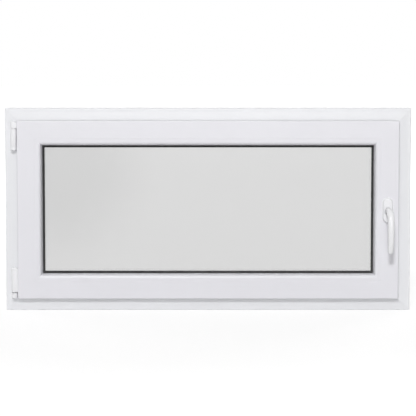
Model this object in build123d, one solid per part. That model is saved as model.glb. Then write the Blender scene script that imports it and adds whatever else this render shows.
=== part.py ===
from build123d import *
import os
from math import cos, degrees, radians, sin

os.makedirs("parts", exist_ok=True)

# A white plastic basement window: a mitred outer frame, one inward-opening sash with
# double glazing, two hinges on the left and a lever handle on the right.
# X runs to the right as seen from the room, Y runs outdoors and Z runs up.
# The origin is the middle of the sill's underside. All sizes are in millimetres.

# Overall sizes
WIDTH = 1000.0
HEIGHT = 500.0
FRAME_DEPTH = 70.0

# Frame section
FRAME_SHOWING = 30.0
OVERLAP = 8.0
FACE_FLAT = 8.0
FACE_RISE = 2.5
RISE_LENGTH = 20.0
STOP_HEIGHT = 20.0
STOP_SLOPE = 4.0
EDGE_RADIUS = 2.5
SMALL_RADIUS = 1.0
FINE_RADIUS = 0.3
ANCHOR_GROOVE_WIDTH = 8.0
ANCHOR_GROOVE_DEPTH = 4.0
ANCHOR_GROOVE_SPREAD = 20.0

# Sash section
REBATE_GAP = 12.0
SEAL_GAP = 4.0
WING_THICKNESS = 10.0
SASH_DEPTH = 66.0
SASH_FACE_WIDTH = 44.0
LIP_THICKNESS = 14.0
LIP_SLOPE = 4.0

# Glazing
BEAD_WIDTH = 17.0
BEAD_STEP = 0.5
BEAD_DRAFT = 3.0
BEAD_RADIUS = 10.0
GASKET_THICKNESS = 3.5
ROOM_GASKET_SHOWING = 5.5
OUTDOOR_GASKET_SHOWING = 3.0
GASKET_FLAT_SHARE = 1 / 3
GASKET_RADIUS = 1.5
PANE_THICKNESS = 4.0
PANE_GAP = 16.0
PANE_CLEARANCE = 5.0
SPACER_HEIGHT = 6.5
SPACER_SHOWING = 2.0

# Seals, and the grooves that hold them and the beads
GROOVE_WIDTH = 3.0
GROOVE_DEPTH = 3.0
FRAME_SEAL_INSET = 2.0
FRAME_SEAL_LIP = 0.5

# Hinges
BARREL_WIDTH = 14.5
BARREL_STANDOFF = 15.0
BARREL_CHAMFER = 2.5
HINGE_GAP = 1.0
PIN_RADIUS = 3.0
PIN_PLAY = 0.3
PIN_REACH = 10.0
UPPER_HINGE_DROP = 2.0
UPPER_EYE_LENGTH = 17.0
UPPER_BEARING_LENGTH = 53.0
LOWER_HINGE_RISE = 0.5
LOWER_BEARING_LENGTH = 13.0
LOWER_KNUCKLE_LENGTH = 61.0
KNUCKLE_GAP = 2.5
LEAF_THICKNESS = 6.0

# Handle
HANDLE_INSET = 28.0
ROSETTE_WIDTH = 28.0
ROSETTE_HEIGHT = 64.0
ROSETTE_THICKNESS = 8.0
ROSETTE_DRAFT = 14.0
ROSETTE_CHAMFER = 1.5
COLLAR_RADIUS = 11.0
COLLAR_HEIGHT = 4.0
COLLAR_CHAMFER = 1.0
NECK_RADIUS = 8.0
NECK_LENGTH = 12.0
NECK_CHAMFER = 1.5
ELBOW_RADIUS = 26.0
ELBOW_TURN = 78.0
GRIP_LENGTH = 84.0
GRIP_BOW_RADIUS = 140.0
GRIP_HALF_WIDTH = 8.5
GRIP_HALF_THICKNESS = 6.5
GRIP_BEVEL = 4.0
TIP_CHAMFER = 2.5

# Water outlets
DRAIN_SPREAD = 300.0
DRAIN_HEIGHT = 22.0
DRAIN_CAP_WIDTH = 42.0
DRAIN_CAP_HEIGHT = 14.0
DRAIN_CAP_DEPTH = 5.0
DRAIN_CAP_RADIUS = 4.0
DRAIN_CAP_CHAMFER = 1.5
DRAIN_SLOT_WIDTH = 30.0
DRAIN_SLOT_DEPTH = 3.0

# How far the mitre cutter reaches past a section
MITRE_MARGIN = 1.0

# Places worked out from the sizes: distances inward from the frame's outer edge
FRAME_LEG = FRAME_SHOWING + OVERLAP
STOP_TOP = FRAME_LEG + STOP_HEIGHT
SASH_EDGE = FRAME_LEG + REBATE_GAP
BEAD_SEAT = FRAME_SHOWING + SASH_FACE_WIDTH
SIGHT_LINE = BEAD_SEAT + BEAD_WIDTH
GLASS_EDGE = BEAD_SEAT + PANE_CLEARANCE

# Places worked out from the sizes: distances outdoors from the frame's middle
ROOM_FACE = -FRAME_DEPTH / 2
OUTDOOR_FACE = FRAME_DEPTH / 2
LEG_FACE = ROOM_FACE - FACE_RISE
WING_BACK = LEG_FACE - SEAL_GAP
SASH_FACE = WING_BACK - WING_THICKNESS
SASH_BACK = SASH_FACE + SASH_DEPTH
STOP_FACE = SASH_BACK + SEAL_GAP
LIP_FACE = SASH_BACK - LIP_THICKNESS
OUTDOOR_PANE = LIP_FACE - GASKET_THICKNESS - PANE_THICKNESS
ROOM_PANE = OUTDOOR_PANE - PANE_GAP - PANE_THICKNESS
BEAD_BACK = ROOM_PANE - GASKET_THICKNESS
BEAD_FACE = SASH_FACE + BEAD_STEP

# Where the pieces that run around the window lie: length and placing of each side
SIDES = {
    "bottom": (WIDTH, Pos(0, 0, 0)),
    "top": (WIDTH, Pos(0, 0, HEIGHT) * Rot(0, 180, 0)),
    "left": (HEIGHT, Pos(-WIDTH / 2, 0, HEIGHT / 2) * Rot(0, 90, 0)),
    "right": (HEIGHT, Pos(WIDTH / 2, 0, HEIGHT / 2) * Rot(0, -90, 0)),
}


def section(*corners):
    """A closed section from (inward, outdoors, corner radius) triples."""
    points = [(inward, outdoors) for inward, outdoors, radius in corners]
    radii = [radius for inward, outdoors, radius in corners]
    return make_face(FilletPolyline(*points, radius=radii, close=True))


def groove(first, last, floor, face):
    """The four corners of a square groove from first to last across a face."""
    return [(first, face, 0), (first, floor, 0), (last, floor, 0), (last, face, 0)]


def edge_groove(middle):
    """An anchor groove in the frame's outer edge, around one depth."""
    half = ANCHOR_GROOVE_WIDTH / 2
    return [
        (0, middle + half, 0),
        (ANCHOR_GROOVE_DEPTH, middle + half, 0),
        (ANCHOR_GROOVE_DEPTH, middle - half, 0),
        (0, middle - half, 0),
    ]


def mitred_bar(profile, length):
    """A section carried along X on the bottom side, its ends cut at 45 degrees."""
    start = Plane(origin=(length / 2, 0, 0), x_dir=(0, 0, 1), z_dir=(-1, 0, 0))
    rod = extrude(start * profile, amount=length, dir=(-1, 0, 0))
    height = profile.bounding_box().max.X + MITRE_MARGIN
    half = length / 2
    corners = [(-half, 0), (half, 0), (half - height, height), (height - half, height)]
    wedge = make_face(Polyline(*corners, close=True))
    return rod & extrude(Plane.XZ * wedge, amount=SASH_DEPTH + FRAME_DEPTH, both=True)


def four_bars(profile):
    """The mitred bars of a section on all four sides, by side."""
    return {side: place * mitred_bar(profile, length) for side, (length, place) in SIDES.items()}


def ring(profile):
    """A section carried around the window in one piece."""
    bars = four_bars(profile)
    return bars["bottom"] + bars["right"] + bars["top"] + bars["left"]


def pane(room_side):
    """A sheet of glass whose room side lies at a depth."""
    sheet = Box(WIDTH - 2 * GLASS_EDGE, PANE_THICKNESS, HEIGHT - 2 * GLASS_EDGE)
    return Pos(0, room_side + PANE_THICKNESS / 2, HEIGHT / 2) * sheet


def save(node, shape):
    """Write one piece to its own file."""
    export_step(shape, f"parts/{node}.step")


# Frame: a leg with a gently rising room face, the rebate, and the stop outdoors
frame_seal_middle = (SASH_EDGE + STOP_TOP) / 2
frame_profile = section(
    (0, ROOM_FACE, EDGE_RADIUS),
    (FACE_FLAT, ROOM_FACE, 0),
    (FACE_FLAT + RISE_LENGTH, LEG_FACE, 0),
    (FRAME_LEG, LEG_FACE, EDGE_RADIUS),
    (FRAME_LEG, STOP_FACE, SMALL_RADIUS),
    *groove(
        frame_seal_middle - GROOVE_WIDTH / 2,
        frame_seal_middle + GROOVE_WIDTH / 2,
        STOP_FACE + GROOVE_DEPTH,
        STOP_FACE,
    ),
    (STOP_TOP, STOP_FACE, SMALL_RADIUS),
    (STOP_TOP - STOP_SLOPE, OUTDOOR_FACE, EDGE_RADIUS),
    (0, OUTDOOR_FACE, EDGE_RADIUS),
    *edge_groove(ANCHOR_GROOVE_SPREAD),
    *edge_groove(-ANCHOR_GROOVE_SPREAD),
)
frame = four_bars(frame_profile)

# Weather seal in the stop, pressed against the sash's outdoor side
frame_seal_profile = section(
    (frame_seal_middle - GROOVE_WIDTH / 2, STOP_FACE + GROOVE_DEPTH, 0),
    (frame_seal_middle - GROOVE_WIDTH / 2, STOP_FACE, 0),
    (SASH_EDGE + FRAME_SEAL_INSET, STOP_FACE, 0),
    (SASH_EDGE + FRAME_SEAL_INSET, SASH_BACK, SMALL_RADIUS),
    (STOP_TOP + FRAME_SEAL_LIP, SASH_BACK, SMALL_RADIUS),
    (STOP_TOP - SMALL_RADIUS, STOP_FACE, 0),
    (frame_seal_middle + GROOVE_WIDTH / 2, STOP_FACE, 0),
    (frame_seal_middle + GROOVE_WIDTH / 2, STOP_FACE + GROOVE_DEPTH, 0),
)

# Sash: the overlap wing over the frame, the body in the rebate, and the glazing lip
sash_seal_middle = (FRAME_SHOWING + FRAME_LEG) / 2
bead_foot_room = (BEAD_FACE + BEAD_BACK) / 2 - GROOVE_WIDTH / 2
bead_foot_outdoors = bead_foot_room + GROOVE_WIDTH
sash_profile = section(
    (FRAME_SHOWING, SASH_FACE, EDGE_RADIUS),
    (BEAD_SEAT, SASH_FACE, FINE_RADIUS),
    (BEAD_SEAT, bead_foot_room, 0),
    (BEAD_SEAT - GROOVE_DEPTH, bead_foot_room, 0),
    (BEAD_SEAT - GROOVE_DEPTH, bead_foot_outdoors, 0),
    (BEAD_SEAT, bead_foot_outdoors, 0),
    (BEAD_SEAT, LIP_FACE, 0),
    (SIGHT_LINE, LIP_FACE, SMALL_RADIUS),
    (SIGHT_LINE - LIP_SLOPE, SASH_BACK, EDGE_RADIUS),
    (SASH_EDGE, SASH_BACK, SMALL_RADIUS),
    (SASH_EDGE, WING_BACK, SMALL_RADIUS),
    *groove(
        sash_seal_middle + GROOVE_WIDTH / 2,
        sash_seal_middle - GROOVE_WIDTH / 2,
        WING_BACK - GROOVE_DEPTH,
        WING_BACK,
    ),
    (FRAME_SHOWING, WING_BACK, SMALL_RADIUS),
)
sash = four_bars(sash_profile)

# Seal behind the overlap wing, pressed against the frame's room face
sash_seal_profile = section(
    (sash_seal_middle - GROOVE_WIDTH / 2, WING_BACK - GROOVE_DEPTH, 0),
    (sash_seal_middle - GROOVE_WIDTH / 2, WING_BACK, 0),
    (sash_seal_middle - GROOVE_WIDTH, WING_BACK, 0),
    (sash_seal_middle - GROOVE_WIDTH / 2, LEG_FACE, FINE_RADIUS),
    (sash_seal_middle + GROOVE_WIDTH / 2, LEG_FACE, FINE_RADIUS),
    (sash_seal_middle + GROOVE_WIDTH, WING_BACK, 0),
    (sash_seal_middle + GROOVE_WIDTH / 2, WING_BACK, 0),
    (sash_seal_middle + GROOVE_WIDTH / 2, WING_BACK - GROOVE_DEPTH, 0),
)

# Glazing beads: a soft-edged bar with a foot that clips into the sash
bead_profile = section(
    (BEAD_SEAT, BEAD_FACE, FINE_RADIUS),
    (SIGHT_LINE - BEAD_DRAFT, BEAD_FACE, BEAD_RADIUS),
    (SIGHT_LINE, BEAD_BACK, FINE_RADIUS),
    (BEAD_SEAT, BEAD_BACK, 0),
    (BEAD_SEAT, bead_foot_outdoors, 0),
    (BEAD_SEAT - GROOVE_DEPTH, bead_foot_outdoors, 0),
    (BEAD_SEAT - GROOVE_DEPTH, bead_foot_room, 0),
    (BEAD_SEAT, bead_foot_room, 0),
)
beads = four_bars(bead_profile)

# Glazing gaskets: wedges whose lips show beyond the bead and beyond the lip outdoors
room_gasket_profile = section(
    (GLASS_EDGE, BEAD_BACK, 0),
    (SIGHT_LINE + ROOM_GASKET_SHOWING * GASKET_FLAT_SHARE, BEAD_BACK, GASKET_RADIUS),
    (SIGHT_LINE + ROOM_GASKET_SHOWING, ROOM_PANE, 0),
    (GLASS_EDGE, ROOM_PANE, 0),
)
outdoor_gasket_profile = section(
    (GLASS_EDGE, LIP_FACE - GASKET_THICKNESS, 0),
    (SIGHT_LINE + OUTDOOR_GASKET_SHOWING, LIP_FACE - GASKET_THICKNESS, 0),
    (SIGHT_LINE + OUTDOOR_GASKET_SHOWING * GASKET_FLAT_SHARE, LIP_FACE, SMALL_RADIUS),
    (GLASS_EDGE, LIP_FACE, 0),
)

# Spacer bar between the panes
spacer_foot = SIGHT_LINE + SPACER_SHOWING - SPACER_HEIGHT
spacer_profile = section(
    (spacer_foot, ROOM_PANE + PANE_THICKNESS, 0),
    (spacer_foot + SPACER_HEIGHT, ROOM_PANE + PANE_THICKNESS, FINE_RADIUS),
    (spacer_foot + SPACER_HEIGHT, OUTDOOR_PANE, FINE_RADIUS),
    (spacer_foot, OUTDOOR_PANE, 0),
)

# Hinges: half-round barrels beside the sash, on the left jamb
sash_left = -WIDTH / 2 + FRAME_SHOWING
barrel_radius = BARREL_WIDTH / 2
barrel_x = sash_left - HINGE_GAP - barrel_radius
barrel_y = ROOM_FACE - BARREL_STANDOFF + barrel_radius
bearing_back = ROOM_FACE + FACE_RISE
knuckle_back = LEG_FACE - HINGE_GAP


def barrel(bottom, length, back):
    """A barrel with a round front and a flat back, its ends bevelled at the front."""
    depth = back - barrel_y
    front_half = Circle(barrel_radius) & Pos(0, -barrel_radius / 2) * Rectangle(
        BARREL_WIDTH, barrel_radius
    )
    plan = front_half + Pos(0, depth / 2) * Rectangle(BARREL_WIDTH, depth)
    solid = extrude(plan, amount=length)
    solid = chamfer(solid.edges().filter_by(GeomType.CIRCLE), BARREL_CHAMFER)
    return Pos(barrel_x, barrel_y, bottom) * solid


def upright_pin(radius, bottom, top):
    """A round pin on the hinge's axis."""
    length = top - bottom
    return Pos(barrel_x, barrel_y, bottom + length / 2) * Cylinder(radius, length)


def leaf(bottom, length):
    """The plate that joins a barrel to the sash's edge."""
    reach = sash_left - barrel_x
    middle = (SASH_FACE + WING_BACK) / 2
    plate = Box(reach, LEAF_THICKNESS, length)
    return Pos(barrel_x + reach / 2, middle, bottom + length / 2) * plate


bore_radius = PIN_RADIUS + PIN_PLAY

# Upper hinge: the bearing on the frame, its pin, and the arm's eye on the sash
eye_bottom = HEIGHT - FRAME_SHOWING - UPPER_HINGE_DROP - UPPER_EYE_LENGTH
bearing_top = eye_bottom - HINGE_GAP
upper_pin_bottom = bearing_top - PIN_REACH
upper_pin_top = eye_bottom + PIN_REACH
upper_bearing = barrel(bearing_top - UPPER_BEARING_LENGTH, UPPER_BEARING_LENGTH, bearing_back)
upper_bearing -= frame["left"]
upper_bearing -= upright_pin(bore_radius, upper_pin_bottom, bearing_top)
upper_eye = barrel(eye_bottom, UPPER_EYE_LENGTH, knuckle_back)
upper_eye += leaf(eye_bottom + HINGE_GAP, UPPER_EYE_LENGTH - HINGE_GAP - BARREL_CHAMFER)
upper_eye -= upright_pin(bore_radius, eye_bottom, upper_pin_top)
upper_pin = upright_pin(PIN_RADIUS, upper_pin_bottom, upper_pin_top)

# Lower hinge: the bearing on the frame, its pivot pin, and the sash's knuckle
lower_bottom = FRAME_SHOWING + LOWER_HINGE_RISE
lower_top = lower_bottom + LOWER_BEARING_LENGTH
knuckle_bottom = lower_top + KNUCKLE_GAP
lower_pin_bottom = lower_top - PIN_REACH
lower_pin_top = knuckle_bottom + PIN_REACH
lower_bearing = barrel(lower_bottom, LOWER_BEARING_LENGTH, bearing_back)
lower_bearing -= frame["left"]
lower_bearing -= upright_pin(bore_radius, lower_pin_bottom, lower_top)
lower_knuckle = barrel(knuckle_bottom, LOWER_KNUCKLE_LENGTH, knuckle_back)
lower_knuckle += leaf(
    knuckle_bottom + HINGE_GAP, LOWER_KNUCKLE_LENGTH - HINGE_GAP - BARREL_CHAMFER
)
lower_knuckle -= upright_pin(bore_radius, knuckle_bottom, lower_pin_top)
lower_pin = upright_pin(PIN_RADIUS, lower_pin_bottom, lower_pin_top)

# Handle: a rosette and collar on the lock stile, and the lever that turns in them
handle_x = WIDTH / 2 - FRAME_SHOWING - HANDLE_INSET
handle_z = HEIGHT / 2
on_sash = Plane(origin=(handle_x, SASH_FACE, handle_z), x_dir=(1, 0, 0), z_dir=(0, -1, 0))

rosette = extrude(
    SlotOverall(ROSETTE_HEIGHT, ROSETTE_WIDTH, rotation=90),
    ROSETTE_THICKNESS,
    taper=ROSETTE_DRAFT,
)
rosette = chamfer(rosette.faces().sort_by(Axis.Z)[-1].edges(), ROSETTE_CHAMFER)
rosette = on_sash * rosette
collar = extrude(Circle(COLLAR_RADIUS) - Circle(NECK_RADIUS + PIN_PLAY), COLLAR_HEIGHT)
collar = chamfer(collar.faces().sort_by(Axis.Z)[-1].outer_wire().edges(), COLLAR_CHAMFER)
collar = on_sash * (Pos(0, 0, ROSETTE_THICKNESS) * collar)

# The lever: a round neck in the collar, then a bevelled bar that turns down in an elbow
# and bows out and back towards the sash. Distances out are from the sash's face.
neck_start = ROSETTE_THICKNESS + PIN_PLAY
neck_end = neck_start + NECK_LENGTH


def lever_axis(out, up):
    """A line across the lever, along X, at a distance out of the sash and up."""
    return Axis((handle_x, SASH_FACE - out, handle_z + up), (1, 0, 0))


neck = Pos(0, 0, neck_start + NECK_LENGTH / 2) * Cylinder(NECK_RADIUS, NECK_LENGTH)
neck = chamfer(neck.edges().sort_by(Axis.Z)[-1], NECK_CHAMFER)
bar = Rectangle(2 * GRIP_HALF_WIDTH, 2 * GRIP_HALF_THICKNESS)
bar = chamfer(bar.vertices(), GRIP_BEVEL)
bar = on_sash * (Pos(0, 0, neck_end) * bar)
elbow_axis = lever_axis(neck_end, -ELBOW_RADIUS)
elbow = revolve(bar, elbow_axis, ELBOW_TURN)
grip_start = bar.rotate(elbow_axis, ELBOW_TURN)
bow_offset = GRIP_BOW_RADIUS - ELBOW_RADIUS
bow_axis = lever_axis(
    neck_end - bow_offset * sin(radians(ELBOW_TURN)),
    -ELBOW_RADIUS - bow_offset * cos(radians(ELBOW_TURN)),
)
grip = revolve(grip_start, bow_axis, degrees(GRIP_LENGTH / GRIP_BOW_RADIUS))
grip = chamfer(grip.faces().sort_by(Axis.Z)[0].edges(), TIP_CHAMFER)
lever = on_sash * neck + elbow + grip


def drain_cap(x):
    """A hooded cap over a water outlet, open below."""
    hood = extrude(
        RectangleRounded(DRAIN_CAP_WIDTH, DRAIN_CAP_HEIGHT, DRAIN_CAP_RADIUS), DRAIN_CAP_DEPTH
    )
    hood = chamfer(hood.faces().sort_by(Axis.Z)[-1].edges(), DRAIN_CAP_CHAMFER)
    mouth = Box(DRAIN_SLOT_WIDTH, DRAIN_CAP_HEIGHT, DRAIN_SLOT_DEPTH)
    hood -= Pos(0, -DRAIN_CAP_HEIGHT / 2, DRAIN_SLOT_DEPTH / 2) * mouth
    outdoors = Plane(origin=(x, OUTDOOR_FACE, DRAIN_HEIGHT), x_dir=(-1, 0, 0), z_dir=(0, 1, 0))
    return outdoors * hood


# The pieces, each in its own file
save("frame_sill", frame["bottom"])
save("frame_head", frame["top"])
save("frame_jamb_left", frame["left"])
save("frame_jamb_right", frame["right"])
save("frame_seal", ring(frame_seal_profile))
save("drain_cap_left", drain_cap(-DRAIN_SPREAD))
save("drain_cap_right", drain_cap(DRAIN_SPREAD))
save("sash_bottom_rail", sash["bottom"])
save("sash_top_rail", sash["top"])
save("sash_hinge_stile", sash["left"])
save("sash_lock_stile", sash["right"])
save("sash_seal", ring(sash_seal_profile))
for side, bead in beads.items():
    save(f"bead_{side}", bead)
save("gasket_room", ring(room_gasket_profile))
save("gasket_outside", ring(outdoor_gasket_profile))
save("glass_pane_room", pane(ROOM_PANE))
save("glass_pane_outside", pane(OUTDOOR_PANE))
save("glass_spacer", ring(spacer_profile))
save("upper_hinge_bearing", upper_bearing)
save("upper_hinge_pin", upper_pin)
save("upper_hinge_eye", upper_eye)
save("lower_hinge_bearing", lower_bearing)
save("lower_hinge_pin", lower_pin)
save("lower_hinge_knuckle", lower_knuckle)
save("handle_rosette", rosette)
save("handle_collar", collar)
save("handle_lever", lever)
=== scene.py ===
"""Looks of a white plastic basement window: bars, glazing, hinges, handle and studio."""

import logging
from dataclasses import dataclass
from enum import Enum
from functools import cache
from math import radians
from typing import Protocol, Sequence

import bpy
import numpy as np
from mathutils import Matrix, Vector


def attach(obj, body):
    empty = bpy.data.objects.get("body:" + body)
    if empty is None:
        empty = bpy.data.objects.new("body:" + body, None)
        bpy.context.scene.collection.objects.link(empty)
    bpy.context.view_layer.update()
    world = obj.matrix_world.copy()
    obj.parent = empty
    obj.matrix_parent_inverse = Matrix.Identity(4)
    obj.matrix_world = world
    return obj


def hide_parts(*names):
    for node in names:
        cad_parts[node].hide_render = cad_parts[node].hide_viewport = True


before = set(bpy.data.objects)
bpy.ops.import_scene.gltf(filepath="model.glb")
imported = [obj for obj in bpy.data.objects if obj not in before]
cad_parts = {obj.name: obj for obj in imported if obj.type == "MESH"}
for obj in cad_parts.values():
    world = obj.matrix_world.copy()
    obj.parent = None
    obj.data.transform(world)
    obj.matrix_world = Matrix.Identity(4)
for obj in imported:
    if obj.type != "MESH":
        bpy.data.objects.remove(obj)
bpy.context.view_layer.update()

Array = np.ndarray
Material = bpy.types.Material
Socket = bpy.types.NodeSocket
Span = tuple[float, float]
Colour = tuple[float, float, float]
Corner = tuple[float, float, float]
Place = tuple[float, float, float]

log = logging.getLogger("basement_window")

MM = 0.001
PROFILE_UV = "profile"
WELD = "weld"

# Overall sizes, in millimetres: X to the right, Y outdoors, Z up from the sill's underside
WIDTH = 1000.0
HEIGHT = 500.0
OUTDOORS = (0.0, 1.0, 0.0)

# Edges that turn further than this many degrees stay sharp
SHARP_EDGE = 50.0

# The values between which most of a noise pattern lies
NOISE_MIDDLE = (0.3, 0.7)

# The sockets of the mixing node for its factor, its two colours and its result
MIX_INPUTS = (0, 6, 7)
MIX_RESULT = 2


class Body(Enum):
    """The bodies that pieces ride on."""

    WINDOW = "window"
    HANDLE = "handle"


class Slot(Enum):
    """Names of material slots for the new pieces; no piece here takes its finish from them."""

    PROFILE = "white_profile"
    CAP = "white_cap"
    RUBBER = "black_rubber"
    LEVER = "white_lever"


class Side(Enum):
    """The four sides of the window: middle of the outer edge, run, inward direction, length."""

    BOTTOM = ((0, 0, 0), (1, 0, 0), (0, 0, 1), WIDTH)
    RIGHT = ((WIDTH / 2, 0, HEIGHT / 2), (0, 0, 1), (-1, 0, 0), HEIGHT)
    TOP = ((0, 0, HEIGHT), (-1, 0, 0), (0, 0, -1), WIDTH)
    LEFT = ((-WIDTH / 2, 0, HEIGHT / 2), (0, 0, -1), (1, 0, 0), HEIGHT)


class Finish(Protocol):
    """What every finish can do."""

    def material(self) -> Material:
        """The finish as a material, built once."""


def around(count: int) -> Array:
    """The angles of evenly spaced points around a full turn."""
    return np.linspace(0, 2 * np.pi, count, endpoint=False)


def quarter(count: int) -> Array:
    """The angles of evenly spaced points over a quarter turn, both ends included."""
    return np.radians(np.linspace(0, 90, count))


def unit(vectors: Array) -> Array:
    """Vectors scaled to a length of 1."""
    return vectors / np.linalg.norm(vectors, axis=1, keepdims=True)


def smooth_step(values: Array, first: float, last: float) -> Array:
    """A rise from 0 to 1 that starts and ends level: 3 t squared minus 2 t cubed.

    Args:
        values: Where to work it out.
        first: The value at which the rise starts.
        last: The value at which it ends.

    Returns:
        The height at each value.
    """
    share = np.clip((values - first) / (last - first), 0, 1)
    return share * share * (3 - 2 * share)


@dataclass(frozen=True)
class Section:
    """A closed outline in a plane, drawn anticlockwise: two coordinates and a radius per corner."""

    corners: tuple[Corner, ...]
    arc_points: int = 7
    sharp: float = 0.15
    hold: float = 0.1

    def outline(self) -> Array:
        """Turn every corner into an arc between two short straight holds.

        The unit vectors to a corner's neighbours give the tangent points and the arc's
        centre, and the arc is the spherical blend of its first and last radius.

        Returns:
            The outline's points in order, one row each.
        """
        table = np.array(self.corners, float)
        here = table[:, :2]
        radius = np.maximum(table[:, 2], self.sharp)[:, None]
        back = unit(np.roll(here, 1, axis=0) - here)
        ahead = unit(np.roll(here, -1, axis=0) - here)
        half = np.arccos(np.clip((back * ahead).sum(1, keepdims=True), -1, 1)) / 2
        reach = radius / np.tan(half)
        centre = here + unit(back + ahead) * radius / np.sin(half)
        first = here + back * reach - centre
        last = here + ahead * reach - centre
        sweep = np.pi - 2 * half
        share = np.linspace(0, 1, self.arc_points)[None, :]
        from_first = np.sin((1 - share) * sweep) / np.sin(sweep)
        from_last = np.sin(share * sweep) / np.sin(sweep)
        arcs = centre[:, None] + from_first[..., None] * first[:, None]
        arcs = arcs + from_last[..., None] * last[:, None]
        before = here + back * (reach + self.hold)
        after = here + ahead * (reach + self.hold)
        return np.concatenate([before[:, None], arcs, after[:, None]], axis=1).reshape(-1, 2)


def notch(middle: Span, width: Span, sink: Span, radius: float = 0.0) -> tuple[Corner, ...]:
    """The four corners of a square notch in a section, or of a foot on it.

    Args:
        middle: The middle of its mouth.
        width: The way along the edge from one side of the mouth to the other.
        sink: The way from the mouth to the floor.
        radius: The radius of all four corners.

    Returns:
        The corners in order.
    """
    start, end = ((middle[0] + half * width[0], middle[1] + half * width[1]) for half in (-0.5, 0.5))
    floor = [(place[0] + sink[0], place[1] + sink[1], radius) for place in (start, end)]
    return ((*start, radius), *floor, (*end, radius))


@dataclass(frozen=True)
class Lattice:
    """A surface on a grid: rows run around it and columns along it, in millimetres."""

    points: Array
    close_columns: bool = False
    weld: Array | float = 0.0

    def distances(self, axis: int) -> Array:
        """The mean distance covered along one axis of the grid, one value past its end.

        Args:
            axis: 0 for across the rows, 1 for along the columns.

        Returns:
            Distances in metres.
        """
        step = np.roll(self.points, -1, axis=axis) - self.points
        length = np.linalg.norm(step, axis=2).mean(axis=1 - axis)
        return np.concatenate([[0.0], np.cumsum(length)]) * MM

    def faces(self) -> tuple[Array, Array, Array]:
        """A face in every cell of the grid and a flat one on each open end, all facing outwards.

        The sum over all faces of the triple products of their fans of triangles is six
        times the volume inside. Where it is negative, every face is turned over.

        Returns:
            The point number and the map place of every face's corners, and the corner counts.
        """
        rows, columns = self.points.shape[:2]
        last = columns if self.close_columns else columns - 1
        row, column = np.meshgrid(np.arange(rows), np.arange(last), indexing="ij")
        cell_rows = np.stack([row, row, row + 1, row + 1], axis=-1).ravel()
        cell_columns = np.stack([column, column + 1, column + 1, column], axis=-1).ravel()
        corners = (cell_rows % rows) * columns + cell_columns % columns
        uv = np.stack([self.distances(1)[cell_columns], self.distances(0)[cell_rows]], axis=1)
        counts = np.full(rows * last, 4)
        if not self.close_columns:
            end = np.arange(rows) * columns
            corners = np.concatenate([corners, end[::-1], end + columns - 1])
            uv = np.concatenate([uv, np.zeros((2 * rows, 2))])
            counts = np.append(counts, [rows, rows])
        here = np.arange(len(corners))
        first = np.repeat(np.cumsum(counts) - counts, counts)
        count = np.repeat(counts, counts)
        after = first + (here - first + 1) % count
        points = self.points.reshape(-1, 3)
        fans = points[corners[first]] * np.cross(points[corners], points[corners[after]])
        if fans.sum() < 0:
            turned = 2 * first + count - 1 - here
            corners = corners[turned]
            uv = uv[turned]
        return corners, uv, counts


def surface(x: Array, y: Array, z: Array, close_columns: bool = False) -> Lattice:
    """A grid from three coordinates, each spread over the rows and columns of the others."""
    return Lattice(np.stack(np.broadcast_arrays(x, y, z), axis=2), close_columns)


def put(name: str, data: bpy.types.ID) -> bpy.types.Object:
    """Put a mesh, a lamp or a camera into the scene.

    Args:
        name: The new object's name.
        data: What it shows.

    Returns:
        The object.
    """
    item = bpy.data.objects.new(name, data)
    bpy.context.scene.collection.objects.link(item)
    return item


def add_piece(
    name: str,
    lattices: Sequence[Lattice],
    finish: Finish,
    node: str,
    body: Body = Body.WINDOW,
) -> None:
    """Put one or more closed grids into a mesh, and hang it on its body.

    Args:
        name: The piece's name.
        lattices: The grids that make up the piece.
        finish: The piece's finish.
        node: The CAD node that the piece stands for.
        body: The body that the piece moves with.
    """
    grids = [lattice.points.shape[:2] for lattice in lattices]
    starts = np.cumsum([0] + [rows * columns for rows, columns in grids])
    faces = [lattice.faces() for lattice in lattices]
    points = np.concatenate([lattice.points.reshape(-1, 3) for lattice in lattices]) * MM
    corners = np.concatenate([face[0] + start for face, start in zip(faces, starts)])
    uv = np.concatenate([face[1] for face in faces])
    counts = np.concatenate([face[2] for face in faces])
    welds = [np.broadcast_to(item.weld, grid).ravel() for item, grid in zip(lattices, grids)]
    mesh = bpy.data.meshes.new(name)
    mesh.vertices.add(len(points))
    mesh.vertices.foreach_set("co", points.astype(np.float32).ravel())
    mesh.loops.add(len(corners))
    mesh.loops.foreach_set("vertex_index", corners.astype(np.int32))
    mesh.polygons.add(len(counts))
    mesh.polygons.foreach_set("loop_start", (np.cumsum(counts) - counts).astype(np.int32))
    mesh.polygons.foreach_set("use_smooth", np.ones(len(counts), bool))
    mesh.update(calc_edges=True)
    layer = mesh.uv_layers.new(name=PROFILE_UV)
    layer.data.foreach_set("uv", uv.astype(np.float32).ravel())
    attribute = mesh.attributes.new(WELD, "FLOAT", "POINT")
    attribute.data.foreach_set("value", np.concatenate(welds).astype(np.float32))
    mesh.set_sharp_from_angle(angle=radians(SHARP_EDGE))
    mesh.materials.append(finish.material())
    piece = put(name, mesh)
    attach(piece, body.value)
    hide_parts(node)
    log.info("%s: %d faces on %s", name, len(counts), body.value)


def dress(node: str, finish: Finish) -> None:
    """Give a CAD node its finish.

    Args:
        node: The node's name.
        finish: The finish.
    """
    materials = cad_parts[node].data.materials
    materials.clear()
    materials.append(finish.material())
    log.info("%s: dressed in %s", node, materials[0].name)


@dataclass(frozen=True)
class Weld:
    """The fine groove along a mitre, with its stations along the bar given in widths."""

    depth: float
    width: float
    stations: tuple[float, ...] = (0.0, 0.2, 0.4, 0.7, 1.0, 1.4, 2.0, 3.0)
    fade: float = 2.0

    def bell(self) -> tuple[Array, Array]:
        """The groove's shape: e to the minus fade times the squared station, 0 at the last.

        Returns:
            Distances from the cut, and the share of the depth at each.
        """
        near = np.array(self.stations)
        share = np.exp(-self.fade * near**2)
        share[-1] = 0.0
        return self.width * near, share


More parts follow.
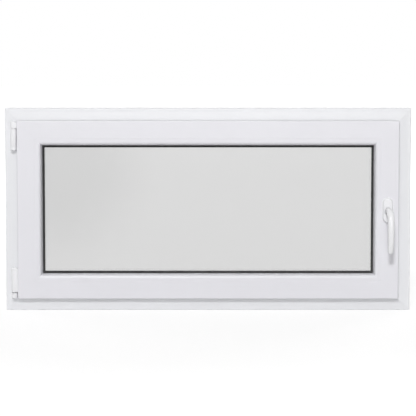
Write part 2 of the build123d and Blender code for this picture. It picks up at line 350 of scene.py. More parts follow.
def mitred_bar(section: Section, side: Side, weld: Weld) -> Lattice:
    """Carry a section along one side of the window, with its ends cut at 45 degrees.

    A point that lies u inward starts and ends u short of the side's ends. Near each end
    the section sinks into the weld's groove along its normals, which are its tangents
    turned a quarter clockwise.

    Args:
        section: The section, as (inward, outdoors).
        side: The side that the bar lies on.
        weld: The groove along the mitres.

    Returns:
        The bar's grid, open at its two cuts.
    """
    middle, run, inward, length = side.value
    outline = section.outline()
    tangent = unit(np.roll(outline, -1, axis=0) - np.roll(outline, 1, axis=0))
    normal = np.stack([tangent[:, 1], -tangent[:, 0]], axis=1)
    near, bell = weld.bell()
    sink = np.concatenate([bell, bell[::-1]])
    shape = outline[:, None] - normal[:, None] * (weld.depth * sink)[None, :, None]
    reach = length / 2 - shape[..., 0]
    count = len(near)
    along = np.concatenate([near - reach[:, :count], reach[:, count:] - near[::-1]], axis=1)
    points = np.array(middle) + along[..., None] * np.array(run)
    points = points + shape[..., :1] * np.array(inward)
    points = points + shape[..., 1:] * np.array(OUTDOORS)
    return Lattice(points, weld=sink)


def add_bars(nodes: Sequence[str], section: Section, weld: Weld, finish: Finish) -> None:
    """Make the four mitred bars of a frame.

    Args:
        nodes: The CAD nodes of the bottom, the right, the top and the left bar.
        section: The bars' section, as (inward, outdoors).
        weld: The groove along the mitres.
        finish: The bars' finish.
    """
    for side, node in zip(Side, nodes):
        bar = mitred_bar(section, side, weld)
        add_piece(f"{node}_bar", [bar], finish, node)


def ring(section: Section) -> Lattice:
    """Carry a section once around the window, turning square at the four corners.

    Args:
        section: The section, as (inward, outdoors).

    Returns:
        The ring's grid, closed along its path.
    """
    outline = section.outline()
    inward = outline[:, :1]
    left_right = np.array([[-1.0, 1.0, 1.0, -1.0]])
    low_high = np.array([[-1.0, -1.0, 1.0, 1.0]])
    x = left_right * (WIDTH / 2 - inward)
    z = HEIGHT / 2 + low_high * (HEIGHT / 2 - inward)
    return surface(x, outline[:, 1:], z, close_columns=True)


def scaled(colour: Colour, factor: float) -> Colour:
    """A colour times a factor."""
    return (colour[0] * factor, colour[1] * factor, colour[2] * factor)


def grey(level: float) -> tuple[float, float, float, float]:
    """An opaque grey."""
    return (level, level, level, 1.0)


class Nodes:
    """A node tree under construction."""

    def __init__(self, tree: bpy.types.NodeTree) -> None:
        """Take up a tree."""
        self.tree = tree

    def lead(self, value: object, target: Socket) -> None:
        """Lead another node's output into a socket, or set the socket to a constant.

        Args:
            value: The output or the constant.
            target: The socket.
        """
        if isinstance(value, Socket):
            self.tree.links.new(value, target)
        else:
            target.default_value = value

    def node(self, kind: str, *first: object, output: str | int = 0, **values: object) -> Socket:
        """Add a node and fill its inputs with constants or with other nodes' outputs.

        Args:
            kind: The node's type.
            first: What goes into its first inputs, in order.
            output: The output to give back.
            values: Its properties, and its other inputs with underscores for spaces.

        Returns:
            The output.
        """
        node = self.tree.nodes.new(kind)
        for key, value in values.items():
            if hasattr(node, key):
                setattr(node, key, value)
            else:
                self.lead(value, node.inputs[key.replace("_", " ")])
        for value, target in zip(first, node.inputs):
            self.lead(value, target)
        return node.outputs[output]

    def seen(self, *kinds: str) -> Socket:
        """A factor that is 1 for some kinds of ray: the largest of their flags.

        Args:
            kinds: The flags' names.

        Returns:
            The factor.
        """
        flags = [self.node("ShaderNodeLightPath", output=kind) for kind in kinds]
        factor = flags[0]
        for flag in flags[1:]:
            factor = self.node("ShaderNodeMath", factor, flag, operation="MAXIMUM")
        return factor


class Shader(Nodes):
    """A material under construction: its node tree and its principled surface."""

    def __init__(self, name: str, **values: float) -> None:
        """Start a material with a principled surface.

        Args:
            name: The material's name.
            values: Values of the surface's sockets, with underscores for spaces.
        """
        self.material = bpy.data.materials.new(name)
        self.material.use_nodes = True
        super().__init__(self.material.node_tree)
        self.surface = self.tree.nodes["Principled BSDF"]
        for key, value in values.items():
            self.surface.inputs[key.replace("_", " ")].default_value = value

    def place(self) -> Socket:
        """The Object coordinates."""
        return self.node("ShaderNodeTexCoord", output="Object")

    def distance(self, centre: Place) -> Socket:
        """The distance from a place on Object coordinates, in metres."""
        values = {"operation": "DISTANCE", "output": "Value"}
        return self.node("ShaderNodeVectorMath", self.place(), centre, **values)

    def noise(self, repeats: float | Place, detail: float, own_map: bool = False) -> Socket:
        """A noise pattern.

        Args:
            repeats: How often the pattern repeats in a metre, evenly or by axis.
            detail: How many finer layers it has.
            own_map: Whether it follows the piece's own map, not the Object coordinates.

        Returns:
            The pattern, from 0 to 1.
        """
        place = self.node("ShaderNodeUVMap", uv_map=PROFILE_UV) if own_map else self.place()
        scale = repeats if isinstance(repeats, tuple) else (repeats, repeats, repeats)
        mapped = self.node("ShaderNodeMapping", place, Scale=scale)
        return self.node("ShaderNodeTexNoise", mapped, Scale=1.0, Detail=detail)

    def spread(
        self, pattern: Socket, span: Span = (0.0, 1.0), middle: Span = NOISE_MIDDLE, soft: bool = False
    ) -> Socket:
        """Spread the middle of a pattern over a span of values.

        Args:
            pattern: The pattern.
            span: The lowest and the highest value.
            middle: The pattern's values that become those two.
            soft: Whether the values start and end level, not as a straight ramp.

        Returns:
            The values.
        """
        source = {"From_Min": middle[0], "From_Max": middle[1]}
        target = {"To_Min": span[0], "To_Max": span[1]}
        ramp = "SMOOTHSTEP" if soft else "LINEAR"
        return self.node("ShaderNodeMapRange", pattern, interpolation_type=ramp, **source, **target)

    def tint(self, factor: Socket, first: Colour | Socket, second: Colour) -> Socket:
        """Blend two colours by a pattern.

        Args:
            factor: The pattern.
            first: The colour where it is 0.
            second: The colour where it is 1.

        Returns:
            The blended colour.
        """
        mix = self.tree.nodes.new("ShaderNodeMix")
        mix.data_type = "RGBA"
        colours = [(*colour, 1) if isinstance(colour, tuple) else colour for colour in (first, second)]
        for value, place in zip((factor, *colours), MIX_INPUTS):
            self.lead(value, mix.inputs[place])
        return mix.outputs[MIX_RESULT]

    def finish(
        self, relief: Span, height: Socket, colour: Socket, rough: Socket | float
    ) -> Material:
        """Lead a colour, a roughness and a relief into the surface.

        Args:
            relief: The relief's strength, and its height in metres.
            height: The pattern that raises the surface.
            colour: The colour.
            rough: The roughness.

        Returns:
            The finished material.
        """
        strength, distance = relief
        bump = self.node("ShaderNodeBump", Strength=strength, Distance=distance, Height=height)
        for key, value in {"Base Color": colour, "Roughness": rough, "Normal": bump}.items():
            self.lead(value, self.surface.inputs[key])
        return self.material


@dataclass(frozen=True)
class ProfilePlastic:
    """Extruded white plastic: satin, with faint streaks along each bar and duller welds."""

    name: str = "white_sash_plastic"
    colour: Colour = (0.804, 0.799, 0.838)
    streaks: Place = (5.0, 700.0, 1.0)
    streak_shade: float = 0.975
    clouds: float = 9.0
    cloud_share: Span = (0.3, 1.0)
    weld_shade: float = 0.985
    grain: float = 2600.0
    rough: Span = (0.34, 0.44)
    relief: Span = (0.12, 0.00004)

    @cache
    def material(self) -> Material:
        """Build the finish on the piece's own map: U runs along the bar and V around it.

        Returns:
            The material.
        """
        shader = Shader(self.name, IOR=1.53, Specular_IOR_Level=0.45)
        streaks = shader.noise(self.streaks, detail=3.0, own_map=True)
        clouds = shader.spread(shader.noise(self.clouds, detail=2.0), self.cloud_share)
        grain = shader.noise(self.grain, detail=1.0)
        mixed = shader.node("ShaderNodeMath", shader.spread(streaks), clouds, operation="MULTIPLY")
        base = shader.tint(mixed, self.colour, scaled(self.colour, self.streak_shade))
        weld = shader.node("ShaderNodeAttribute", attribute_name=WELD, output="Fac")
        colour = shader.tint(weld, base, scaled(self.colour, self.weld_shade))
        height = shader.node("ShaderNodeMath", streaks, grain, operation="ADD")
        return shader.finish(self.relief, height, colour, shader.spread(streaks, self.rough))


SASH_PLASTIC = ProfilePlastic()
# The frame is the sash's plastic painted lighter, to offset the shade that the sash's step throws on
# the frame's faces
FRAME_PLASTIC_PAINTED_LIGHTER = ProfilePlastic(name="white_frame_plastic_painted_lighter", colour=(0.836, 0.842, 0.864))


@dataclass(frozen=True)
class CloudedFinish:
    """A finish on Object coordinates: a fine pattern in its relief, soft clouds in its colour."""

    name: str
    colour: Colour
    clouds: float
    cloud_shade: float
    pattern: float | Place
    detail: float
    rough: Span
    relief: Span
    metallic: float = 0.0
    coat: float = 0.0
    coat_rough: float = 0.12

    @cache
    def material(self) -> Material:
        """Build the finish.

        Returns:
            The material.
        """
        coat = {"Coat_Weight": self.coat, "Coat_Roughness": self.coat_rough}
        shader = Shader(self.name, Metallic=self.metallic, **coat)
        pattern = shader.noise(self.pattern, self.detail)
        clouds = shader.noise(self.clouds, detail=2.0)
        colour = shader.tint(clouds, self.colour, scaled(self.colour, self.cloud_shade))
        return shader.finish(self.relief, pattern, colour, shader.spread(pattern, self.rough))


# White moulded plastic with a fine sparked texture, as on caps and hinge covers
MOULDED_PLASTIC = CloudedFinish(
    name="white_moulded_plastic",
    colour=(0.868, 0.868, 0.888),
    clouds=60.0,
    cloud_shade=0.97,
    pattern=3200.0,
    detail=2.0,
    rough=(0.30, 0.42),
    relief=(0.10, 0.00005),
)

# White powder coat on the handle's metal: bright, with a faint orange peel
LEVER_COAT = CloudedFinish(
    name="white_lever_coat",
    colour=(0.890, 0.892, 0.905),
    clouds=45.0,
    cloud_shade=0.975,
    pattern=520.0,
    detail=1.5,
    rough=(0.26, 0.34),
    relief=(0.10, 0.0001),
    coat=0.25,
)

# Zinc-plated steel with fine turning marks around the pin
PIN_STEEL = CloudedFinish(
    name="zinc_plated_steel",
    colour=(0.60, 0.61, 0.63),
    clouds=220.0,
    cloud_shade=0.85,
    pattern=(60.0, 60.0, 4200.0),
    detail=2.0,
    rough=(0.24, 0.40),
    relief=(0.15, 0.00005),
    metallic=1.0,
)


@dataclass(frozen=True)
class SealRubber:
    """Black sealing rubber: matt, lightly speckled."""

    name: str = "black_seal_rubber"
    colour: Colour = (0.012, 0.012, 0.013)
    speckle_colour: Colour = (0.030, 0.030, 0.031)
    speckles: float = 1500.0
    clouds: float = 70.0
    rough: Span = (0.50, 0.68)
    relief: Span = (0.25, 0.00008)

    @cache
    def material(self) -> Material:
        """Build the finish on Object coordinates.

        Returns:
            The material.
        """
        shader = Shader(self.name, IOR=1.5, Specular_IOR_Level=0.35)
        speckles = shader.noise(self.speckles, detail=3.0)
        clouds = shader.noise(self.clouds, detail=2.0)
        colour = shader.tint(speckles, self.colour, self.speckle_colour)
        return shader.finish(self.relief, speckles, colour, shader.spread(clouds, self.rough))


@dataclass(frozen=True)
class PaneGlass:
    """Clear float glass: a faint grey tint, a painted reflection that darkens it towards one corner,
    and hardly visible waves.
    """

    name: str = "clear_pane_glass"
    colour: Colour = (0.826, 0.826, 0.826)
    # Painted reflection: the tint darkens by this shade within a soft round patch about this corner,
    # fading over these distances
    shade: float = 0.955
    corner: Place = (-0.40, 0.0, 0.36)
    fade: Span = (0.10, 0.30)
    waves: Place = (6.0, 6.0, 14.0)
    relief: Span = (0.02, 0.0005)

    @cache
    def material(self) -> Material:
        """Build the finish on Object coordinates.

        Returns:
            The material.
        """
        shader = Shader(self.name, IOR=1.5, Transmission_Weight=1.0)
        # Painted reflection: darker glass near the corner, clear glass away from it
        clear = shader.spread(shader.distance(self.corner), middle=self.fade, soft=True)
        colour = shader.tint(clear, scaled(self.colour, self.shade), self.colour)
        waves = shader.noise(self.waves, detail=0.0)
        return shader.finish(self.relief, waves, colour, rough=0.0)


@dataclass(frozen=True)
class SpacerMetal:
    """Mill-finish aluminium with rows of fine breathing holes, sized in shares of their pitch, each
    filled with painted shade.
    """

    name: str = "spacer_aluminium"
    colour: Colour = (0.66, 0.67, 0.69)
    painted_hole_shade: Colour = (0.06, 0.06, 0.06)
    pitch: float = 0.0022
    hole_edge: Span = (0.22, 0.3)
    brushed: Place = (900.0, 40.0, 900.0)
    rough: Span = (0.28, 0.45)
    relief: Span = (0.4, 0.0003)

    @cache
    def material(self) -> Material:
        """Build the finish on Object coordinates: a square grid of cells, each with a dark middle of
        painted shade for its hole.

        Returns:
            The material.
        """
        shader = Shader(self.name, Metallic=0.9)
        grid = {"Scale": 1 / self.pitch, "Randomness": 0.0}
        cells = shader.node("ShaderNodeTexVoronoi", shader.place(), **grid)
        metal = shader.spread(cells, middle=self.hole_edge)
        # The holes are drawn, not cut: their near-black is painted shade
        colour = shader.tint(metal, self.painted_hole_shade, self.colour)
        brushed = shader.noise(self.brushed, detail=2.0)
        return shader.finish(self.relief, metal, colour, shader.spread(brushed, self.rough))


@dataclass(frozen=True)
class OuterFrame:
    """The frame fixed in the wall: four mitred bars, the weather seal and the drain caps."""

    room_face: float = -35.0
    outdoor_face: float = 35.0
    leg: float = 38.0
    face_flat: float = 8.0
    face_rise: float = 2.5
    rise_length: float = 20.0
    stop_face: float = 18.5
    stop_top: float = 58.0
    stop_slope: float = 4.0
    seal_middle: float = 54.0
    groove_width: float = 3.0
    groove_depth: float = 3.0
    anchor_width: float = 8.0
    anchor_depth: float = 4.0
    anchor_spread: float = 20.0
    edge_radius: float = 2.5
    small_radius: float = 1.0
    fine_radius: float = 0.3
    soft_radius: float = 40.0
    weld: Weld = Weld(depth=0.06, width=1.2)

    def section(self) -> Section:
        """The frame's section: the leg with its rising face, the rebate and the stop.

        Returns:
            The section.
        """
        leg_face = self.room_face - self.face_rise
        seal = (self.seal_middle, self.stop_face)
        outdoor_anchor, room_anchor = (
            notch((0.0, middle), (0.0, -self.anchor_width), (self.anchor_depth, 0.0), self.fine_radius)
            for middle in (self.anchor_spread, -self.anchor_spread)
        )
        return Section((
            (0.0, self.room_face, self.edge_radius),
            (self.face_flat, self.room_face, self.soft_radius),
            (self.face_flat + self.rise_length, leg_face, self.soft_radius),
            (self.leg, leg_face, self.edge_radius),
            (self.leg, self.stop_face, self.small_radius),
            *notch(seal, (self.groove_width, 0.0), (0.0, self.groove_depth)),
            (self.stop_top, self.stop_face, self.small_radius),
            (self.stop_top - self.stop_slope, self.outdoor_face, self.edge_radius),
            (0.0, self.outdoor_face, self.edge_radius),
            *outdoor_anchor,
            *room_anchor,
        ))

    def build(self) -> None:
        """Make the four bars, and dress the seal and the caps."""
        nodes = ("frame_sill", "frame_jamb_right", "frame_head", "frame_jamb_left")
        add_bars(nodes, self.section(), self.weld, FRAME_PLASTIC_PAINTED_LIGHTER)
        dress("frame_seal", SealRubber())
        dress("drain_cap_left", MOULDED_PLASTIC)
        dress("drain_cap_right", MOULDED_PLASTIC)


@dataclass(frozen=True)
class Sash:
    """The opening sash: four mitred bars that overlap the frame, and its seal."""

    edge: float = 30.0
    face: float = -51.5
    wing_back: float = -41.5
    body_edge: float = 50.0
    back: float = 14.5
    bead_seat: float = 74.0
    bead_foot: float = -40.75
    lip_face: float = 0.5
    sight_line: float = 91.0
    lip_slope: float = 4.0
    seal_middle: float = 34.0
    groove_width: float = 3.0
    groove_depth: float = 3.0
    edge_radius: float = 2.5
    small_radius: float = 1.0
    fine_radius: float = 0.3
    weld: Weld = Weld(depth=0.06, width=1.2)

    def bead_groove(self) -> tuple[Corner, ...]:
        """The groove in the beads' seat, from the room side outdoors."""
        middle = (self.bead_seat, self.bead_foot)
        return notch(middle, (0.0, self.groove_width), (-self.groove_depth, 0.0))

    def section(self) -> Section:
        """The sash's section: the overlap wing, the body in the rebate and the glazing lip.

        Returns:
            The section.
        """
        seal = (self.seal_middle, self.wing_back)
        return Section((
            (self.edge, self.face, self.edge_radius),
            (self.bead_seat, self.face, self.fine_radius),
            *self.bead_groove(),
            (self.bead_seat, self.lip_face, 0.0),
            (self.sight_line, self.lip_face, self.small_radius),
            (self.sight_line - self.lip_slope, self.back, self.edge_radius),
            (self.body_edge, self.back, self.small_radius),
            (self.body_edge, self.wing_back, self.small_radius),
            *notch(seal, (-self.groove_width, 0.0), (0.0, -self.groove_depth)),
            (self.edge, self.wing_back, self.small_radius),
        ))

    def build(self) -> None:
        """Make the four bars and dress the seal."""
        nodes = ("sash_bottom_rail", "sash_lock_stile", "sash_top_rail", "sash_hinge_stile")
        add_bars(nodes, self.section(), self.weld, SASH_PLASTIC)
        dress("sash_seal", SealRubber())


@dataclass(frozen=True)
class Glazing:
    """The glass unit in the sash: clip-in beads, gaskets, panes and spacer."""

    sash: Sash
    bead_face: float = -51.0
    bead_back: float = -30.5
    bead_draft: float = 3.0
    bead_radius: float = 7.5
    bead_arc_points: int = 13
    fine_radius: float = 0.3
    joint: Weld = Weld(depth=0.05, width=0.4)
    glass_edge: float = 79.0
    room_glass: float = -27.0
    outdoor_glass: float = -3.0
    room_gasket: float = 5.5
    room_radii: Span = (1.5, 0.4)
    outdoor_gasket: float = 3.0
    outdoor_radii: Span = (1.0, 0.3)
    shoulder_share: float = 1 / 3
    lip_height: float = 0.8

    def bead_section(self) -> Section:
        """A bead's section: a soft-edged bar with a foot that clips into the sash.

        Returns:
            The section.
        """
        return Section((
            (self.sash.bead_seat, self.bead_face, self.fine_radius),
            (self.sash.sight_line - self.bead_draft, self.bead_face, self.bead_radius),
            (self.sash.sight_line, self.bead_back, self.fine_radius),
            (self.sash.bead_seat, self.bead_back, 0.0),
            *self.sash.bead_groove()[::-1],
        ), arc_points=self.bead_arc_points)

    def gasket_section(self, seat: float, glass: float, reach: float, radii: Span) -> Section:
        """A gasket's section: a wedge that thins from its seat to a rounded lip on the glass.

        Args:
            seat: How far outdoors the bead or the sash's lip lies.
            glass: How far outdoors the glass lies.
            reach: How far the gasket shows past the sight line.
            radii: The radius of its shoulder and of its lip.

        Returns:
            The section.
        """
        shoulder = self.sash.sight_line + reach * self.shoulder_share
        tip = self.sash.sight_line + reach
        lip = glass + np.copysign(self.lip_height, seat - glass)
        corners = (
            (self.glass_edge, seat, 0.0),
            (shoulder, seat, radii[0]),
            (tip, lip, radii[1]),
            (tip, glass, 0.0),
            (self.glass_edge, glass, 0.0),
        )
        return Section(corners if seat < glass else corners[::-1])

    def build(self) -> None:
        """Make the beads and gaskets, and dress the panes and the spacer."""
        nodes = ("bead_bottom", "bead_right", "bead_top", "bead_left")
        add_bars(nodes, self.bead_section(), self.joint, SASH_PLASTIC)
        room = (self.bead_back, self.room_glass, self.room_gasket, self.room_radii)
        outside = (self.sash.lip_face, self.outdoor_glass, self.outdoor_gasket, self.outdoor_radii)
        for node, sizes in {"gasket_room": room, "gasket_outside": outside}.items():
            lattice = ring(self.gasket_section(*sizes))
            add_piece(f"{node}_ring", [lattice], SealRubber(), node)
        dress("glass_pane_room", PaneGlass())
        dress("glass_pane_outside", PaneGlass())
        dress("glass_spacer", SpacerMetal())


@dataclass(frozen=True)
class Hinges:
    """The two hinges on the left: half-round covers on the frame and on the sash."""

    sash: Sash
    axis_x: float = -478.25
    axis_y: float = -42.75
    radius: float = 7.25
    bearing_back: float = -35.0
    knuckle_back: float = -38.5
    front_radius: float = 5.0
    back_radius: float = 0.5
    arc_points: int = 15
    arc_hold: float = 0.002
    end_radius: float = 2.5
    joint_radius: float = 0.4
    gap_radius: float = 1.0
    end_points: int = 9
    groove_depth: float = 0.25
    groove_width: float = 0.5
    groove_steps: tuple[float, ...] = (-1.0, -0.5, -0.2, 0.2, 0.5, 1.0)
    groove_sinks: tuple[float, ...] = (0.0, 0.3, 1.0, 1.0, 0.3, 0.0)
    leaf_room: float = -49.5
    leaf_outdoors: float = -43.5
    leaf_start: float = 1.0
    leaf_end: float = 2.5
    eye: Span = (451.0, 468.0)
    upper_bearing: Span = (397.0, 450.0)
    lower_bearing: Span = (30.5, 43.5)
    knuckle: Span = (46.0, 107.0)
    cover_edge: float = 7.0

    def cover(self, span: Span, back: float, ends: Span, seam: float | None = None) -> Lattice:
        """A cover with a round front and a flat back, its ends rounded towards the room.

        At a height h from an end, the section shrinks towards its back by r times one
        minus the square root of 1 - (1 - h / r) squared, a quarter circle of radius r.

        Args:
            span: The cover's lower and upper end.
            back: How far outdoors the flat back lies.
            ends: The radius of the lower and of the upper end's edge.
            seam: The height of a fine groove around the cover, if it has one.

        Returns:
            The cover's grid, open at its two ends.
        """
        depth = back - self.axis_y
        outline = Section((
            (-self.radius, -self.radius, self.front_radius),
            (self.radius, -self.radius, self.front_radius),
            (self.radius, depth, self.back_radius),
            (-self.radius, depth, self.back_radius),
        ), arc_points=self.arc_points, hold=self.arc_hold).outline()
        rise = 1 - np.cos(quarter(self.end_points))
        shrink = 1 - np.sin(quarter(self.end_points))
        heights = [span[0] + ends[0] * rise, span[1] - ends[1] * rise[::-1]]
        insets = [ends[0] * shrink, ends[1] * shrink[::-1]]
        if seam is not None:
            heights.insert(1, seam + self.groove_width * np.array(self.groove_steps))
            insets.insert(1, self.groove_depth * np.array(self.groove_sinks))
        inset = np.concatenate(insets)
        wide = 1 - inset / self.radius
        deep = 1 - inset / (depth + self.radius)
        x = self.axis_x + outline[:, :1] * wide
        y = self.axis_y + depth - (depth - outline[:, 1:]) * deep
        return surface(x, y, np.concatenate(heights))

    def leaf(self, span: Span) -> Lattice:
        """The plate that joins a cover to the sash's edge: a rounded section carried up.

        Args:
            span: The lower and upper end of the cover that it belongs to.

        Returns:
            The plate's grid, open at its two ends.
        """
        sash_left = self.sash.edge - WIDTH / 2
        outline = Section((
            (self.axis_x, self.leaf_room, self.back_radius),
            (sash_left, self.leaf_room, 0.0),
            (sash_left, self.leaf_outdoors, 0.0),
            (self.axis_x, self.leaf_outdoors, self.back_radius),
        )).outline()
        heights = np.array([span[0] + self.leaf_start, span[1] - self.leaf_end])
        return surface(outline[:, :1], outline[:, 1:], heights)

    def build(self) -> None:
        """Make the covers with their plates, and dress the pins."""
        joint = (self.end_radius, self.joint_radius)
        gap = (self.end_radius, self.gap_radius)
        bearing_seam = self.upper_bearing[0] + self.cover_edge
        knuckle_seam = self.knuckle[1] - self.cover_edge
        upper = self.cover(self.upper_bearing, self.bearing_back, joint, bearing_seam)
        eye = self.cover(self.eye, self.knuckle_back, joint[::-1])
        lower = self.cover(self.lower_bearing, self.bearing_back, gap)
        knuckle = self.cover(self.knuckle, self.knuckle_back, gap[::-1], knuckle_seam)
        pieces = {
            "upper_hinge_bearing": [upper],
            "upper_hinge_eye": [eye, self.leaf(self.eye)],
            "lower_hinge_bearing": [lower],
            "lower_hinge_knuckle": [knuckle, self.leaf(self.knuckle)],
        }
        for node, lattices in pieces.items():
            add_piece(f"{node}_cover", lattices, MOULDED_PLASTIC, node)
        dress("upper_hinge_pin", PIN_STEEL)
        dress("lower_hinge_pin", PIN_STEEL)


@dataclass(frozen=True)
class Handle:
    """The lever handle: rosette and collar on the sash, and the lever that turns in them."""

    sash: Sash
    x: float = 442.0
    z: float = 250.0
    rosette_half_width: float = 14.0
    rosette_half_height: float = 32.0
    rosette_thickness: float = 8.0
    rosette_rim: float = 1.0
    rosette_edge: float = 1.2
    rosette_shoulder: float = 4.5
    rosette_middle: float = 1.0
    rosette_points: int = 96
    shoulder_power: float = 0.8
    shoulder_points: int = 14
    crown_points: int = 6
    collar_radius: float = 11.0
    collar_height: float = 4.0
    collar_bore: float = 8.3
    collar_edge: float = 1.2
    bore_edge: float = 0.4
    collar_points: int = 72
    neck_start: float = 8.3
    neck_end: float = 20.3
    neck_radius: float = 7.9
    neck_points: int = 10
    elbow_radius: float = 26.0
    elbow_turn: float = 78.0
    elbow_points: int = 18
    bow_radius: float = 140.0
    bow_points: int = 26
    grip_length: float = 84.0
    swell_start: float = 4.5
    swell_end: float = 40.0
    # Half the lever's width and half its thickness, each at the elbow and at the tip
    half_widths: Span = (8.2, 6.5)
    half_thicknesses: Span = (6.6, 5.0)
    tip_length: float = 6.0
    tip_points: int = 12
    tip_close: float = 0.04
    side_sweep: float = 3.3
    squareness: float = 2.3
    lever_points: int = 64

    def placed(self, across: Array, out: Array, up: Array, close_columns: bool = False) -> Lattice:
        """A grid from distances across, out of the sash and up, measured from the lever's axis."""
        return surface(self.x + across, self.sash.face - out, self.z + up, close_columns)

    def rosette(self) -> Lattice:
        """The rosette: an oblong outline that steps inward as it rises and rounds over.

        The outline at an inset i is the set of points at the distance (half width - i)
        from an upright line. The inset and the height follow a quarter of a superellipse,
        and the top is flat.

        Returns:
            The rosette's grid, open at its base and at its middle.
        """
        turn = around(self.rosette_points)[:, None]
        rise = quarter(self.shoulder_points)
        rim = self.rosette_rim
        shoulder = rim + np.sin(rise) ** self.shoulder_power * (self.rosette_thickness - rim)
        step = self.rosette_edge + self.rosette_shoulder * (1 - np.cos(rise))
        last = self.rosette_half_width - self.rosette_middle
        crown = np.linspace(step[-1], last, self.crown_points)[1:]
        top = np.full(len(crown), self.rosette_thickness)
        inset = np.concatenate([[0.0, 0.0], step, crown])
        height = np.concatenate([[0.0, rim], shoulder, top])
        radius = self.rosette_half_width - inset[None, :]
        straight = self.rosette_half_height - self.rosette_half_width
        across = radius * np.cos(turn)
        up = radius * np.sin(turn) + straight * np.sign(np.round(np.sin(turn), decimals=9))
        return self.placed(across, height, up)

    def collar(self) -> Lattice:
        """The collar: a ring whose section turns once around the lever's axis.

        Returns:
            The collar's grid, closed along its path.
        """
        low = self.rosette_thickness
        high = low + self.collar_height
        outline = Section((
            (self.collar_bore, low, 0.0),
            (self.collar_radius, low, 0.0),
            (self.collar_radius, high, self.collar_edge),
            (self.collar_bore, high, self.bore_edge),
        )).outline()
        turn = around(self.collar_points)[None, :]
        across = outline[:, :1] * np.cos(turn)
        up = outline[:, :1] * np.sin(turn)
        return self.placed(across, outline[:, 1:], up, close_columns=True)

    def path(self) -> tuple[Array, Array, Array]:
        """The lever's centre line: straight out, round the elbow, and along the slow bow.

        Elbow and bow are arcs that meet in one direction, and the stations crowd
        towards the tip as the sine of a quarter turn.

        Returns:
            Distances out and up, and the angle that the line has turned, one per station.
        """
        neck = np.linspace(self.neck_start, self.neck_end, self.neck_points)[:-1]
        first = radians(self.elbow_turn)
        elbow = np.linspace(0, first, self.elbow_points)[:-1]
        last = first + self.grip_length / self.bow_radius
        body = last - self.tip_length / self.bow_radius
        tip = body + (last - body) * np.sin(quarter(self.tip_points))
        bow = np.concatenate([np.linspace(first, body, self.bow_points)[:-1], tip])
        inner = self.bow_radius - self.elbow_radius
        elbow_out = self.neck_end + self.elbow_radius * np.sin(elbow)
        elbow_up = self.elbow_radius * np.cos(elbow) - self.elbow_radius
        bow_out = self.neck_end - inner * np.sin(first) + self.bow_radius * np.sin(bow)
        bow_up = -self.elbow_radius - inner * np.cos(first) + self.bow_radius * np.cos(bow)
        out = np.concatenate([neck, elbow_out, bow_out])
        up = np.concatenate([0 * neck, elbow_up, bow_up])
        turned = np.concatenate([0 * neck, elbow, bow])
        return out, up, turned

    def lever(self) -> Lattice:
        """The lever: a superellipse carried along its path, round at first and slim at its tip.

        The half sizes change by a smooth step from the neck's to the elbow's, taper by
        another to the tip's, and close over the tip as a quarter ellipse. The first step
        also carries the lever a little away from the glass.

        Returns:
            The lever's grid, open at its neck and in the middle of its tip.
        """
        out, up, turned = self.path()
        step = np.hypot(np.diff(out), np.diff(up))
        run = np.concatenate([[0.0], np.cumsum(step)])
        blend = smooth_step(run, self.swell_start, self.swell_end)
        slim = smooth_step(run, self.swell_end, run[-1])
        neck = self.neck_radius
        half_width, half_thick = (
            neck + (elbow - neck) * blend + (tip - elbow) * slim
            for elbow, tip in (self.half_widths, self.half_thicknesses)
        )
        past = np.clip(1 - (run[-1] - run) / self.tip_length, 0, 1)
        close = np.maximum(np.sqrt(1 - past**2), self.tip_close)
        power = 2 / (2 + (self.squareness - 2) * blend)
        angle = around(self.lever_points)[:, None]
        wide, thick = (
            np.sign(wave) * np.abs(wave) ** power for wave in (np.cos(angle), np.sin(angle))
        )
        across = wide * half_width * close + self.side_sweep * blend
        lift = thick * half_thick * close
        out = out + lift * np.sin(turned)
        up = up + lift * np.cos(turned)
        return self.placed(across, out, up)

    def build(self) -> None:
        """Make the rosette, the collar and the lever."""
        add_piece("handle_rosette_cover", [self.rosette()], MOULDED_PLASTIC, "handle_rosette")
        add_piece("handle_collar_ring", [self.collar()], MOULDED_PLASTIC, "handle_collar")
        lever = [self.lever()]
        add_piece("handle_lever_grip", lever, LEVER_COAT, "handle_lever", Body.HANDLE)


@dataclass(frozen=True)
class Lamp:
    """A square lamp that faces the middle of the window: in watts, with its side in metres."""

    name: str
    power: float
    size: float
    place: Place

    def hang(self) -> None:
        """Put the lamp into the scene."""
        lamp = bpy.data.lights.new(self.name, "AREA")
        lamp.energy = self.power
        lamp.shape = "SQUARE"
        lamp.size = self.size
        holder = put(self.name, lamp)
        holder.location = self.place
        aim = Vector((0, 0, HEIGHT / 2 * MM)) - holder.location
        holder.rotation_euler = aim.to_track_quat("-Z", "Y").to_euler()


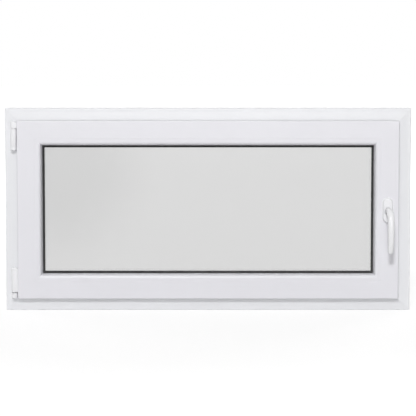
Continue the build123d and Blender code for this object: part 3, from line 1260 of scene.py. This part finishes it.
@dataclass(frozen=True)
class Studio:
    """The pale floor, the soft lights, the white surroundings and the camera, in metres."""

    floor_size: float = 60.0
    floor_glow: float = 0.80
    floor_shade: float = 0.25
    floor_colour: float = 0.86
    glow_fade: Span = (0.7, 2.5)
    ambient: float = 0.15
    lamps: tuple[Lamp, ...] = (
        Lamp("key", 462.0, 1.44, (-0.8, -7.76, 6.16)),
        Lamp("top", 10.0, 1.2, (-0.4, -0.7, 3.4)),
        Lamp("fill", 64.0, 1.5, (0.2, -6.7, 1.3)),
        Lamp("back", 215.0, 3.0, (3.6, 5.2, 2.6)),
        Lamp("side", 120.0, 3.0, (-4.4, 3.6, 1.8)),
    )
    camera_distance: float = 3.8
    camera_rise: float = 4.0
    camera_target: float = 0.3546
    lens: float = 132.1
    sensor: float = 36.0
    shift: float = -0.1
    far: float = 100.0

    def surroundings(self) -> None:
        """White for what the camera, mirrors and glass see, and a plain level of light."""
        world = bpy.data.worlds.new("studio")
        bpy.context.scene.world = world
        world.use_nodes = True
        nodes = Nodes(world.node_tree)
        light = nodes.node("ShaderNodeBackground", Color=grey(1.0), Strength=self.ambient)
        white = nodes.node("ShaderNodeBackground", Color=grey(1.0), Strength=1.0)
        seen = nodes.seen("Is Camera Ray", "Is Glossy Ray", "Is Transmission Ray")
        mixed = nodes.node("ShaderNodeMixShader", seen, light, white)
        nodes.lead(mixed, nodes.tree.nodes["World Output"].inputs["Surface"])

    def floor(self) -> None:
        """A wide pale floor that shows the window's shadow.

        To the camera it glows a little less than white around the window, where the lamps
        make up the rest outside the shadow, and fully white further away.
        """
        half = self.floor_size / 2
        mesh = bpy.data.meshes.new("floor")
        corners = [(-half, -half, 0), (half, -half, 0), (half, half, 0), (-half, half, 0)]
        mesh.from_pydata(corners, [], [(0, 1, 2, 3)])
        shader = Shader("pale_floor")
        shader.tree.nodes.remove(shader.surface)
        away = shader.distance((0.0, 0.0, 0.0))
        level = shader.spread(away, (self.floor_glow, 1.0), self.glow_fade)
        glow = shader.node("ShaderNodeEmission", Color=grey(1.0), Strength=level)
        shade = shader.node("ShaderNodeBsdfDiffuse", Color=grey(self.floor_shade))
        shown = shader.node("ShaderNodeAddShader", glow, shade)
        plain = shader.node("ShaderNodeBsdfDiffuse", Color=grey(self.floor_colour))
        direct = shader.seen("Is Camera Ray", "Is Glossy Ray")
        near = shader.node("ShaderNodeMixShader", direct, plain, shown)
        white = shader.node("ShaderNodeEmission", Color=grey(1.0), Strength=1.0)
        through = shader.seen("Is Transmission Ray")
        mixed = shader.node("ShaderNodeMixShader", through, near, white)
        shader.lead(mixed, shader.tree.nodes["Material Output"].inputs["Surface"])
        mesh.materials.append(shader.material)
        put("floor", mesh)

    def camera(self) -> None:
        """The camera in front of the window, a little above it."""
        data = bpy.data.cameras.new("camera")
        data.lens = self.lens
        data.sensor_width = self.sensor
        data.shift_y = self.shift
        data.clip_end = self.far
        holder = put("camera", data)
        rise = radians(self.camera_rise)
        back = self.camera_distance * np.cos(rise)
        up = self.camera_distance * np.sin(rise)
        holder.location = (0.0, -back, self.camera_target + up)
        holder.rotation_euler = (np.pi / 2 - rise, 0.0, 0.0)
        bpy.context.scene.camera = holder

    def build(self) -> None:
        """Set up the surroundings, the floor, the lamps and the camera."""
        self.surroundings()
        self.floor()
        for lamp in self.lamps:
            lamp.hang()
        self.camera()
        bpy.context.scene.view_settings.view_transform = "Standard"


def write_sizes() -> None:
    bpy.context.view_layer.update()


def main() -> None:
    """Build every sub-assembly in order, then the studio."""
    logging.basicConfig(level=logging.INFO, format="%(name)s %(message)s")
    sash = Sash()
    OuterFrame().build()
    sash.build()
    Glazing(sash).build()
    Hinges(sash).build()
    Handle(sash).build()
    Studio().build()
    write_sizes()


if __name__ == "__main__":
    main()
